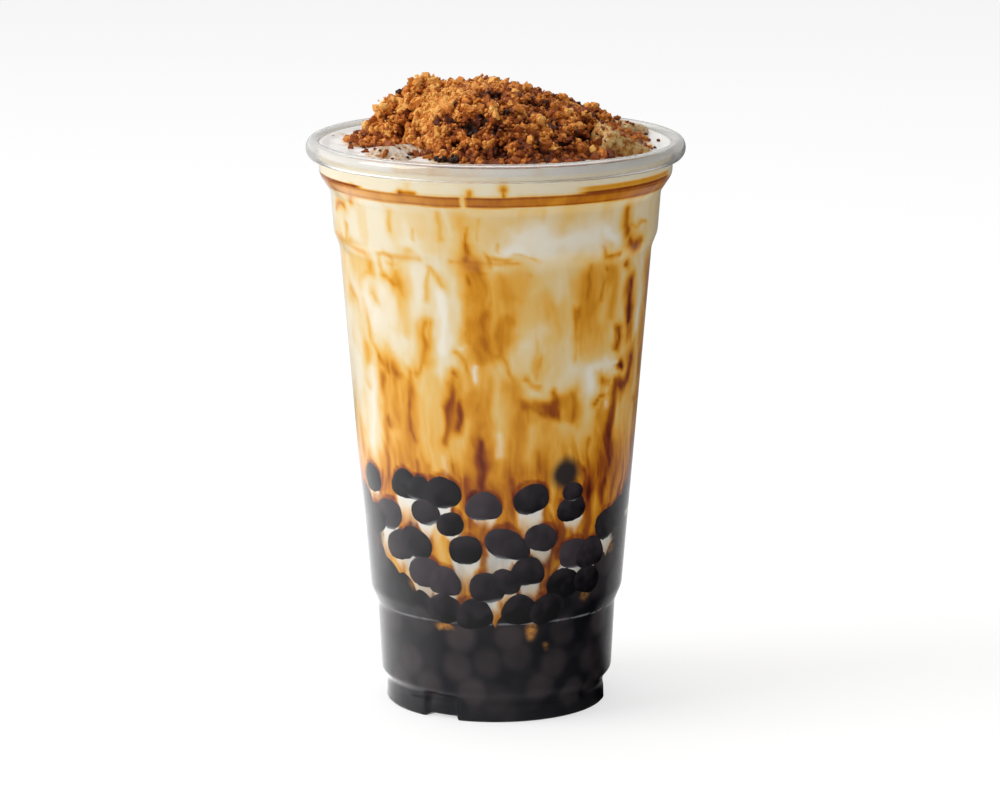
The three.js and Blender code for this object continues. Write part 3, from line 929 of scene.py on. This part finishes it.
def paintMilk(piece, places):
    points = pointsOf(piece)
    turn, height = turnOf(points), points[:, 2]
    # every place is looked up a little to the side of where it lies, so that edges are ragged
    slow = 3.4 * (swirl(turn, height, 9, 13, 11) - 0.5)
    quick = 1.6 * (swirl(turn, height, 2.2, 4, 21) - 0.5)
    upward = 5.5 * (swirl(turn, height, 5, 6, 31) - 0.5)
    calm = np.clip(blend(2.5, 0.5, np.abs(height - 123)) + blend(131, 136, height), 0, 1)
    ragged = turn + np.degrees((slow + quick) * (1 - 0.6 * calm) / cup["paintRadius"])
    raised = height + upward * (1 - 0.85 * calm)
    drift = turn + np.degrees(9 * (swirl(turn, height, 10, 13, 81) - 0.5) / cup["paintRadius"])
    marble = blend(0.25, 0.75, swirl(drift, raised + 0.7 * upward, 4.6, 12, 71, 4))
    threads = blend(0.2, 0.8, swirl(drift, height, 1.4, 10, 41, 2))
    broad = swirl(drift, height, 13, 22, 51)
    vary = 0.55 + 0.9 * swirl(ragged, raised, 3.0, 5, 91, 2)
    runs = withBack(milk["runs"])
    wash = cover(ragged, raised, withBack(milk["washes"]), 1.15, 0.65 + 0.7 * broad, 2.6)
    fresh = 1 - 0.3 * blend(122, 127, height)
    wash = wash * fresh * (0.8 + 0.4 * marble + 0.06 * threads)
    core = cover(ragged, raised, runs, 1.35, vary) * (0.74 + 0.36 * marble + 0.1 * threads)
    halo = cover(ragged, raised, runs, 3.0, vary) * fresh * (0.36 + 0.4 * marble)
    front = apart(turn, 0)
    base = 0.05 + 0.1 * blend(-70, 10, front) + 0.14 * (marble - 0.5) + 0.03 * (threads - 0.5)
    base = np.clip(base + 0.16 * blend(0.5, 0.75, broad) * blend(126, 118, height), 0, 1)
    low = blend(90, 62, raised + 10 * (marble - 0.5))  # the syrup thickens towards the pearls
    thick = low * (0.3 + 0.22 * marble + 0.26 * threads + 0.06 * blend(-40, 30, front))
    syrup = (base ** 4 + wash ** 4 + core ** 4 + halo ** 4 + thick ** 4) ** 0.25
    groove, aboveGroove = grooveSyrup(turn, height, marble)
    syrup = syrup * (1 - 0.7 * blend(0.2, 1.0, aboveGroove) * (1 - np.clip(1.8 * core, 0, 1)))
    pale = cover(ragged, raised, withBack(milk["whitesAndGlints"]), 1.25, vary)
    veil, outline = pearlTraces(turn, height, places)
    rings = outline * (0.6 + 0.2 * marble + 0.2 * threads)
    syrup = np.maximum(np.maximum(syrup, groove) * (1 - 0.9 * pale), rings)
    murk = 0.3 * blend(58, 40, height) * (0.5 + marble)
    for spotTurn, spotHeight, size in milk["murk"]:
        across, up = wallSpot(apart(turn, spotTurn), height - spotHeight)
        murk = np.maximum(murk, blend(size + 1.6, size - 1.8, np.hypot(across, up) + 0.4 * upward))
    for name, values in {"syrup": syrup, "pale": pale, "veil": veil, "murk": murk}.items():
        paint(piece, name, np.clip(values, 0, 1))


def milkMaterial():
    material, tree, shader = startMaterial("milk_and_syrup")
    hairs = addNoise(tree, 1.1, stretch=(1, 1, 0.2), detail=4, roughness=0.6)
    clouds = addNoise(tree, 5, stretch=(1, 1, 0.5), detail=3)
    uneven = addMath(tree, "MULTIPLY_ADD", hairs, 0.22)
    uneven.node.inputs[2].default_value = 0.89
    uneven = addMath(tree, "MULTIPLY", uneven, readPaint(tree, "syrup"))
    clouds = addMath(tree, "MULTIPLY", addMath(tree, "SUBTRACT", clouds, 0.5), 0.1)
    colour = addRamp(tree, addMath(tree, "ADD", uneven, clouds), milk["colours"])
    # pale: clean milk, and the painted highlights on the ice lens
    pale = addRange(tree, readPaint(tree, "pale"), 0.1, 0.9, 0.0, 1.0)
    colour = addMix(tree, pale, colour, milk["clean"])
    veil = readPaint(tree, "veil")
    white = addRamp(tree, veil, milk["veils"])
    colour = addMix(tree, addRange(tree, veil, 0.05, 0.7, 0.0, 1.0), colour, white)
    colour = addMix(tree, readPaint(tree, "murk"), colour, milk["sunken"])
    connect(tree, shader, "Base Color", colour)
    shader.inputs["Roughness"].default_value = 0.6
    shader.inputs["Specular IOR Level"].default_value = 0.0
    return material


def makeMilk(places):
    rows = []
    for bottom, top, spacing in milk["rows"]:
        rows += [row for row in wallRows(bottom, top, spacing) if not rows or row > rows[-1]]
    side = [(float(wallRadius(row)) - milk["inset"], row) for row in rows]
    outline = [(0, milk["bottom"]), *side, (0, rows[-1] - 0.4)]
    piece = spinOutline("milkTea", outline, milk["steps"])
    paintMilk(piece, places)
    dress(piece, milkMaterial(), milk["smooth"])
    settle(piece, "milk_tea", "milk")


# Milk foam on top, with syrup and sugar melting into it

foam = {
    "edge": 45.15,
    "upperEdge": 45.45,
    "steps": 240,
    "spacing": 0.8,
    "lift": 1.2,  # it stands above the milk
    "climb": 0.7,  # how far it creeps up the wall
    "swells": [(-25, -21, 13, 13, 1.0), (8, -36, 24, 8, 0.8)],  # x and y, spread in x and y, rise
    "runs": [  # strength, width, then the way as x and y
        (0.85, 2.8, [(-24, -35), (-16, -40), (-6, -42)]),
        (0.7, 1.1, [(-30, -31), (-33, -25), (-31, -20)]),
        (0.85, 0.9, [(-35, -17), (-31, -15), (-26, -17)]),
        (0.7, 1.5, [(-24, -21), (-17, -24), (-9, -29)]),
        (0.8, 2.8, [(-6, -42), (10, -41)]),
        (0.55, 1.5, [(30, -28), (37, -20)]),
        (0.5, 1.2, [(-37, 8), (-39, 16)]),
        (0.6, 1.5, [(8, 39), (18, 36), (27, 31)]),
        (0.6, 1.2, [(-22, 33), (-30, 26)]),
    ],
    "colours": [
        (0.1, tone(230, 227, 223)), (0.35, tone(222, 196, 160)),
        (0.6, tone(176, 112, 58)), (0.9, tone(96, 50, 26)),
    ],
}


def foamMaterial():
    material, tree, shader = startMaterial("milk_foam")
    specks = addNoise(tree, 2.2, detail=4, roughness=0.65)
    stain = addMath(tree, "MULTIPLY", readPaint(tree, "syrup"), addMath(tree, "ADD", specks, 0.45), True)
    connect(tree, shader, "Base Color", addRamp(tree, stain, foam["colours"]))
    shader.inputs["Roughness"].default_value = 0.28
    addBump(tree, shader, addNoise(tree, 1.6, detail=3), 0.3, 0.3)
    return material


def foamRise(x, y):
    rise = 0
    for middleX, middleY, wide, deep, height in foam["swells"]:
        rise = rise + height * np.exp(-((x - middleX) / wide) ** 2 - ((y - middleY) / deep) ** 2)
    return foam["lift"] + rise * blend(45, 41, np.hypot(x, y))


def makeFoam():
    edge, level = foam["edge"], milk["level"]
    radii = np.arange(0, edge - 0.2, foam["spacing"])
    outline = [(float(radius), level) for radius in radii]
    outline += [(foam["upperEdge"], level + foam["lift"] + foam["climb"]), (edge, level - 1.5)]
    piece = spinOutline("milkFoam", outline, foam["steps"])
    points = pointsOf(piece)
    x, y = points[:, 0], points[:, 1]
    radius = np.hypot(x, y)
    flat = radius < edge - 0.1
    lumps = np.sin(0.31 * x + 0.2 * y) * np.sin(0.27 * y - 0.13 * x + 1)
    lumps = lumps + 0.5 * np.sin(0.8 * x) * np.sin(0.7 * y)
    climb = foam["climb"] * blend(42.5, 45.1, radius)
    rise = 0.35 * lumps * blend(45, 40, radius) + climb + foamRise(x, y)
    points[flat, 2] += rise[flat]
    movePoints(piece, points)
    left = np.ones_like(x)
    bend = 0.8 * np.sin(0.9 * x + 0.4 * y) + 0.5 * np.sin(2.1 * y)
    for strength, width, way in foam["runs"]:
        away = farFromWay(x, y, way, bend)
        left = np.minimum(left, 1 - strength * np.exp(-(away / width) ** 2))
    gap = np.hypot(x - heap["middleX"], y) - heapReach(1, np.arctan2(x - heap["middleX"], -y))
    nearHeap = 0.62 * blend(5, 0, gap + 0.9 * bend)
    paint(piece, "syrup", np.maximum(1 - left, nearHeap))
    dress(piece, foamMaterial())
    settle(piece, "milk_tea", "milk")


# Crumbled brown sugar

heap = {
    "height": 15.4,
    "radius": 38.0,
    "middleX": -1.0,
    "hollow": (-59, 30, 0.37),  # lies back at the front left: turn, spread, depth
    "edge": 0.8,
    "base": 145.8,
    "lump": 0.8,
    "lowered": 0.9,  # so that the lumps stand about the true surface
    "swells": [(-23, 4, 8, 2.2), (-5, 3, 6, -1.3), (12, 3, 7, -1.5)],  # x, y, spread and rise
    "humps": 46,
    "humpRadius": (3.6, 6.5),
    "clumps": 980,
    "clumpRadius": (1.0, 2.8),
    "knobs": 3200,  # smaller lumps on the clumps
    "knobRadius": (0.5, 1.0),
    "crumbs": 2950,
    "crumbRadius": (0.4, 1.2),
    "crumbPull": 0.46,  # how far its corners are pulled about
    "crumbTones": (-0.16, 0.14),
    "crumbSmooth": 24,
    "footCrumbs": 480,  # along the edge of the heap
    "footRadius": (0.4, 1.3),
    "footTones": (0.25, 0.75),
    "grains": 7600,
    "grainRadius": (0.26, 0.6),
    "grainPull": 0.4,
    "grainTones": (-0.16, 0.16),
    "strays": 220,  # grains that fell on the milk round the heap
    "strayRadius": (0.2, 0.6),
    "strayTones": (0.0, 0.5),
    "iceCrumbs": 75,  # crumbs on each block of ice
    "iceCrumbTones": (0.25, 0.65),
    "iceDust": 170,  # and grains
    "iceDustTones": (0.2, 0.7),
    "lone": [(-27, -22, 1.5), (-33, -19, 0.8), (-37, -9, 0.7), (-20, -26, 0.9)],  # x, y, radius
    "soaked": (-11, -33.5, 1.9),  # x, y and radius of a lump dark with syrup
    # from painted shade in the pits up to painted light on the lumps' tops, as well as the sugar's own
    # tones
    "colours": [
        (0.04, tone(32, 8, 1)), (0.26, tone(94, 36, 5)), (0.5, tone(166, 81, 18)),
        (0.74, tone(228, 141, 52)), (0.95, tone(250, 187, 96)),
    ],
}


def heapRise(share, angle):
    dome = heap["height"] * (1 - share ** (2.65 - 0.55 * np.sin(angle)))
    lumps = np.sin(3 * angle + 6 * share) + np.sin(5 * angle - 9 * share + 1)
    return heap["edge"] + dome + heap["lump"] * lumps * share * (1 - share ** 4)


def heapReach(share, angle):
    middle, spread, depth = heap["hollow"]
    hollow = depth * np.exp(-(apart(np.degrees(angle), middle) / spread) ** 2)
    return share * heap["radius"] * (1 - hollow + 0.025 * np.sin(4 * angle + 1) + 0.02 * np.sin(7 * angle))


def sugarMaterial(name, grain):
    material, tree, shader = startMaterial(name)
    speckle = addNoise(tree, grain, detail=3, roughness=0.7)
    patches = addNoise(tree, 7, detail=2)
    shade = addMath(tree, "MULTIPLY_ADD", speckle, 0.5)
    connect(tree, shade.node, "_2", addMath(tree, "SUBTRACT", readPaint(tree, "shade"), 0.25))
    patches = addMath(tree, "MULTIPLY", addMath(tree, "SUBTRACT", patches, 0.5), 0.3)
    shade = addMath(tree, "ADD", shade, patches)
    connect(tree, shader, "Base Color", addRamp(tree, shade, heap["colours"]))
    shader.inputs["Roughness"].default_value = 0.52
    shader.inputs["Specular IOR Level"].default_value = 0.3
    addBump(tree, shader, speckle, 0.9, 0.45)
    return material


# How far each point is raised by the rounded lumps nearest to it, and which lump it is on.
def lumpRelief(points, chosen, count, sizes, sunk, lowest):
    small, large = sizes
    centres = dice.choice(chosen, count, replace=False)
    radii = small + (large - small) * dice.random(count) ** 2
    tree = KDTree(count)
    for number, centre in enumerate(centres):
        tree.insert(points[centre], number)
    tree.balance()
    relief = np.full(len(points), lowest)
    owner = np.zeros(len(points))
    for vertex in chosen:
        for _, number, away in tree.find_n(points[vertex], 6):
            if away < radii[number]:
                swell = math.sqrt(radii[number] ** 2 - away ** 2) - sunk * radii[number]
                if swell > relief[vertex]:
                    relief[vertex] = swell
                    owner[vertex] = number
    return relief, owner


def makeHeapCore():
    deselectAll()
    bpy.ops.mesh.primitive_ico_sphere_add(subdivisions=7, radius=1)
    piece = bpy.context.object
    piece.name = "sugarHeap"
    ball = pointsOf(piece) * mm
    angle = np.arctan2(ball[:, 0], -ball[:, 1])
    fall = np.arccos(np.clip(ball[:, 2], -1, 1)) / (math.pi / 2)
    share = np.minimum(fall, 2 - fall)
    reach = heapReach(share, angle)
    height = np.where(fall > 1, -0.9 * blend(1, 1.1, fall), heapRise(share, angle))
    across, deep = reach * np.sin(angle) + heap["middleX"], -reach * np.cos(angle)
    dome = np.stack([across, deep, heap["base"] + height], 1)
    edge = blend(1.0, 0.9, share)
    for x, y, spread, rise in heap["swells"]:
        away = np.hypot(dome[:, 0] - x, dome[:, 1] - y)
        dome[:, 2] += rise * np.exp(-(away / spread) ** 2) * edge * (fall < 1)
    movePoints(piece, dome)
    upper = np.flatnonzero(fall < 0.985)
    humps, _ = lumpRelief(dome, upper, heap["humps"], heap["humpRadius"], 0.76, -0.5)
    lowered = heap["lowered"] * (1 + 0.9 * blend(0.2, 0.9, np.sin(angle)) * blend(0.1, 0.5, share))
    dome = dome + normalsOf(piece) * ((humps * blend(0.15, 0.4, share) - lowered) * edge)[:, None]
    movePoints(piece, dome)
    clumps, owner = lumpRelief(dome, upper, heap["clumps"], heap["clumpRadius"], 0.55, -1.4)
    movePoints(piece, dome + normalsOf(piece) * (clumps * edge)[:, None])
    lumpy = pointsOf(piece)
    knobs, _ = lumpRelief(lumpy, upper, heap["knobs"], heap["knobRadius"], 0.5, -0.3)
    movePoints(piece, lumpy + normalsOf(piece) * (knobs * edge)[:, None])
    # painted light and shade: raised clumps and knobs are painted lighter and the pits between them darker;
    # the heap is also painted darker from the left towards the middle and right, away from the key lamp,
    # partly as wetter sugar; it is kept lighter towards its foot
    wetAndShaded = blend(-24, 2, dome[:, 0])
    shade = 0.48 + 0.1 * scatter(owner, 9) + 0.37 * clumps + 0.52 * knobs - 0.24 * wetAndShaded
    shade = np.maximum(shade, 0.32 * blend(0.8, 0.95, share))
    paint(piece, "shade", shade)
    dress(piece, sugarMaterial("sugar_crumble", 0.7))
    settle(piece, "brown_sugar", "sugar_heap")
    pits = -0.7 - 0.5 * scatter(upper, 3) - 2 * (share[upper] > 0.78)
    raised = upper[clumps[upper] > pits]  # loose sugar is kept out of most of the pits, which stay dark with painted shade
    return pointsOf(piece), normalsOf(piece), raised, shade


# A rough lump: the starter's points pulled about, turned anyhow, and set at its place.
def roughLump(starter, radius, place, pull):
    turn = Matrix.Rotation(dice.uniform(0, 2 * math.pi), 3, Vector(dice.normal(size=3)).normalized())
    stretch = 1 + dice.uniform(-0.28, 0.28, 3)
    shape = starter * (1 + dice.uniform(-pull, pull, (len(starter), 1))) * stretch
    return shape @ np.array(turn) * radius + place


# Put one lump on a pile. Its tone is `shade`, give or take a draw from `tones`.
def addLump(pile, starter, radius, place, pull, shade, tones=None):
    pile["shapes"].append(roughLump(starter, radius, place, pull))
    tint = shade + (dice.uniform(*tones) if tones else 0)
    pile["tints"].append(np.full(len(starter), tint))


def joinPile(name, pile, faces):
    piece = joinCopies(name, pile["shapes"], faces)
    paint(piece, "shade", np.concatenate(pile["tints"]))
    return piece


def heapSpot(reach, angle, height):
    return np.array([reach * math.sin(angle) + heap["middleX"], -reach * math.cos(angle), height])


def subdividedCube():
    bpy.ops.mesh.primitive_cube_add(size=1.3)
    bpy.ops.object.mode_set(mode="EDIT")
    bpy.ops.mesh.subdivide(number_cuts=1, smoothness=1)
    bpy.ops.object.mode_set(mode="OBJECT")


# Places on the upper faces of a block, closer together towards the heap.
def dustPlaces(block, count):
    faces = [face for face in block.data.polygons
             if face.normal.z > 0.2 and face.center.z > (milk["level"] + 1.6) * mm]
    middles = np.array([face.center for face in faces]) / mm
    sizes = np.array([face.area for face in faces]) * np.exp(-np.hypot(middles[:, 0], middles[:, 1]) / 12)
    count = round(count * ice["sugared"].get(block.name, 1))
    chosen = dice.choice(len(faces), count, p=sizes / sizes.sum())
    return middles[chosen] + dice.normal(size=(count, 3)) * (0.5, 0.5, 0.1)


def makeCrumbs(points, normals, raised, shade, blocks):
    cube, squares = templateOf(subdividedCube)
    pile = {"shapes": [], "tints": []}
    small, large = heap["crumbRadius"]
    pull = heap["crumbPull"]
    for vertex in dice.choice(raised, heap["crumbs"]):
        radius = small + (large - small) * dice.random() ** 3.2
        place = points[vertex] + normals[vertex] * radius * 0.3
        # each crumb takes the heap's painted light and shade where it sits, give or take a random tone
        addLump(pile, cube, radius, place, pull, shade[vertex], heap["crumbTones"])
    for _ in range(heap["footCrumbs"]):
        angle = dice.uniform(0, 2 * math.pi)
        reach = min(heapReach(dice.uniform(0.88, 1.04), angle), 43)
        place = heapSpot(reach, angle, heap["base"] + 1.3)
        addLump(pile, cube, dice.uniform(*heap["footRadius"]), place, pull, 0, heap["footTones"])
    for x, y, radius in heap["lone"]:
        place = np.array([x, y, milk["level"] + foamRise(x, y) + 0.5 * radius])
        addLump(pile, cube, radius, place, pull, 0.45)
    for block in blocks:
        for place in dustPlaces(block, heap["iceCrumbs"]):
            addLump(pile, cube, dice.uniform(small, large), place, pull, 0, heap["iceCrumbTones"])
    soakedX, soakedY, soakedSize = heap["soaked"]
    nearest = raised[np.argmin(np.hypot(points[raised, 0] - soakedX, points[raised, 1] - soakedY))]
    for _ in range(12):
        radius = soakedSize * dice.uniform(0.25, 0.45)
        place = points[nearest] + normals[nearest] * 0.4 + dice.normal(size=3) * (1.9, 0.7, 0.5)
        addLump(pile, cube, radius, place, 0.2, -0.1)
    piece = joinPile("sugarCrumbs", pile, squares)
    dress(piece, sugarMaterial("sugar_crumbs", 0.5), heap["crumbSmooth"])
    settle(piece, "brown_sugar", "sugar_heap")


def makeGrains(points, normals, raised, shade, blocks):
    ball, faces = templateOf(bpy.ops.mesh.primitive_ico_sphere_add, subdivisions=1, radius=1)
    pile = {"shapes": [], "tints": []}
    small, large = heap["grainRadius"]
    pull = heap["grainPull"]
    for vertex in dice.choice(raised, heap["grains"]):
        radius = small + (large - small) * dice.random() ** 2
        place = points[vertex] + normals[vertex] * dice.uniform(0.1, 0.6)
        # each grain takes the heap's painted light and shade where it sits, give or take a random tone
        addLump(pile, ball, radius, place, pull, shade[vertex], heap["grainTones"])
    for _ in range(heap["strays"]):
        angle = dice.uniform(0, 2 * math.pi)
        reach = min(heapReach(1, angle) - 0.5 + 8 * dice.random() ** 3.5, 43.5)
        place = heapSpot(reach, angle, milk["level"] + 0.3)
        place[2] += foamRise(place[0], place[1])
        addLump(pile, ball, dice.uniform(*heap["strayRadius"]), place, 0.22, 0, heap["strayTones"])
    for block in blocks:
        for place in dustPlaces(block, heap["iceDust"]):
            addLump(pile, ball, dice.uniform(*heap["strayRadius"]), place, pull, 0, heap["iceDustTones"])
    piece = joinPile("sugarGrains", pile, faces)
    piece.data.materials.append(sugarMaterial("sugar_grains", 0.4))
    settle(piece, "brown_sugar", "sugar_heap")


# Ice

ice = {
    "blocks": {  # width, depth and height, middle, turn about X, Y and Z
        "ice_right": ((15, 11.5, 13), (30.5, -14, 145.6), (2, 30, 20)),
        "ice_back": ((11, 14, 8), (32.5, 15, 146.6), (-6, 12, -28)),
        "ice_left": ((14, 14, 14), (-18.5, 9, 151.8), (14, -22, 35)),
        "ice_front": ((14, 12, 9), (-23.5, -24, 144.4), (10, 12, 42)),
    },
    "rounding": 2.2,
    "lumps": 0.5,
    "sugared": {"icerightBlock": 0.45, "icebackBlock": 0.1, "icefrontBlock": 0.06},  # share of the crumbs
    "golden": [
        (0.38, tone(255, 234, 180)), (0.5, tone(244, 196, 114)),
        (0.6, tone(192, 122, 56)), (0.7, tone(136, 74, 32)),
    ],
    "creamy": [(0.42, tone(238, 231, 222)), (0.54, tone(222, 196, 160)), (0.62, tone(168, 112, 66))],
}


def iceMaterial(name, colours, clear):
    material, tree, shader = startMaterial(name)
    cloud = addNoise(tree, 5, detail=4)
    runs = addNoise(tree, 1.3, stretch=(1, 0.4, 1), detail=3, roughness=0.65)
    connect(tree, shader, "Base Color", addRamp(tree, addMix(tree, 0.35, runs, cloud), colours))
    shader.inputs["Transmission Weight"].default_value = clear
    shader.inputs["IOR"].default_value = 1.31
    gloss = addRamp(tree, cloud, [(0.3, (0.08, 0.08, 0.08, 1)), (0.7, (0.3, 0.3, 0.3, 1))])
    connect(tree, shader, "Roughness", gloss)
    addBump(tree, shader, addNoise(tree, 1.6, detail=3, roughness=0.6), 0.8, 0.7)
    return material


def makeIce(name, block, material):
    size, middle, turns = block
    deselectAll()
    bpy.ops.mesh.primitive_cube_add(size=1)
    piece = bpy.context.object
    piece.name = name.replace("_", "") + "Block"
    piece.scale = Vector(size) * mm
    bpy.ops.object.transform_apply(location=False, rotation=False, scale=True)
    bpy.ops.object.mode_set(mode="EDIT")
    bpy.ops.mesh.select_all(action="SELECT")
    bpy.ops.mesh.bevel(offset=ice["rounding"] * mm, segments=3)
    bpy.ops.mesh.subdivide(number_cuts=5)
    bpy.ops.object.mode_set(mode="OBJECT")
    lumps = bpy.data.textures.new(name, "CLOUDS")
    lumps.noise_scale = 5 * mm
    dents = piece.modifiers.new("dents", "DISPLACE")
    dents.texture = lumps
    dents.texture_coords = "LOCAL"
    dents.strength = 2 * ice["lumps"] * mm
    dents.mid_level = 0.6
    bpy.ops.object.modifier_apply(modifier=dents.name)
    turnX, turnY, turnZ = (Matrix.Rotation(math.radians(turn), 4, axis) for turn, axis in zip(turns, "XYZ"))
    piece.data.transform(Matrix.Translation(Vector(middle) * mm) @ turnX @ turnY @ turnZ)
    dress(piece, material)
    settle(piece, "ice", name)
    return piece


setPicture()
addCamera()
addLamps()
addSky()
addFloor()
print("studio set")

makeCup()
makeBed()
showing = pearlPlaces()
makePearls(showing)
makeMilk(showing)
makeFoam()
goldenIce = iceMaterial("sugared_ice", ice["golden"], 0.4)
creamyIce = iceMaterial("creamy_ice", ice["creamy"], 0.25)
iceBlocks = [makeIce(name, block, creamyIce if name == "ice_front" else goldenIce)
             for name, block in ice["blocks"].items()]
heapSkin = makeHeapCore()
makeCrumbs(*heapSkin, iceBlocks)
makeGrains(*heapSkin, iceBlocks)
print("cup, drink, sugar and ice made")
